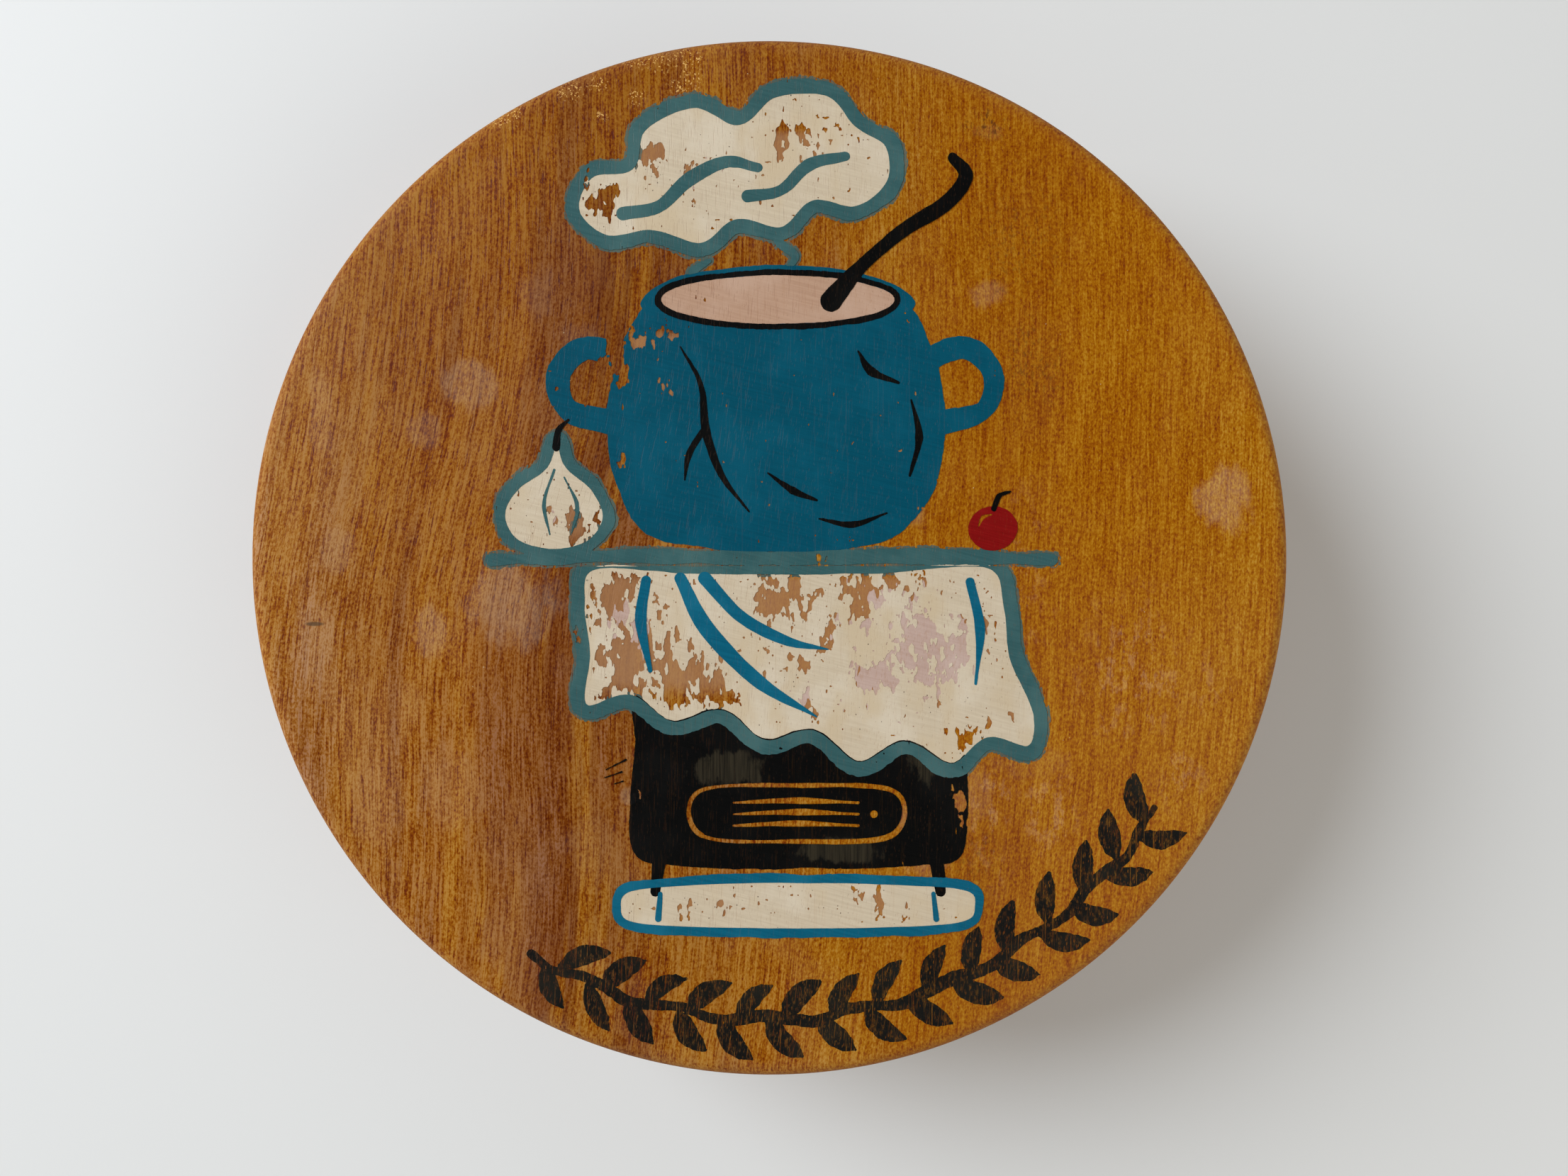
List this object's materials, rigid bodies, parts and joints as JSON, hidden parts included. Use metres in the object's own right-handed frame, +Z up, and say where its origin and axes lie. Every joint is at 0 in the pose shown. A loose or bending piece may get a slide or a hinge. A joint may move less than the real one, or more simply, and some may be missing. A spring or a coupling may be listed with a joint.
{
  "type": "patty press",
  "caption": "Round wooden press for hamburger patties: a base with a round well, and a loose lid whose disc drops in and flattens the meat.",
  "frame": {"origin": "centre of the base board's underside, the face that the closed press rests on", "axes": "+Z up out of the painted lid, the way the lid lifts off; +Y along the boards' grain, towards the top of the painted picture; +X to its right"},
  "size_m": [0.146, 0.146, 0.0416],
  "materials": {
    "lacquered_wood": "amber lacquer, worn satin",
    "worn_wood": "lacquer mostly worn off, matt",
    "screw_brass": "dulled brass, slotted heads",
    "paint_cream": "hand-brushed enamel paint, chipped",
    "paint_teal": "hand-brushed enamel paint, chipped",
    "paint_black": "hand-brushed enamel paint, chipped"
  },
  "bodies": {
    "base": {"base_board": "lacquered_wood", "well_ring": "lacquered_wood", "base_screw_1": "screw_brass", "base_screw_2": "screw_brass", "base_screw_3": "screw_brass", "base_screw_4": "screw_brass"},
    "lid": {"lid_board": "lacquered_wood", "press_plate": "worn_wood", "plate_screw_1": "screw_brass", "plate_screw_2": "screw_brass", "plate_screw_3": "screw_brass", "plate_screw_4": "screw_brass"}
  },
  "joints": [
    {"name": "lid_lift", "type": "slide", "parent": "base", "child": "lid", "axis": [0, 0, 1], "range_m": [0, 0.06]}
  ]
}
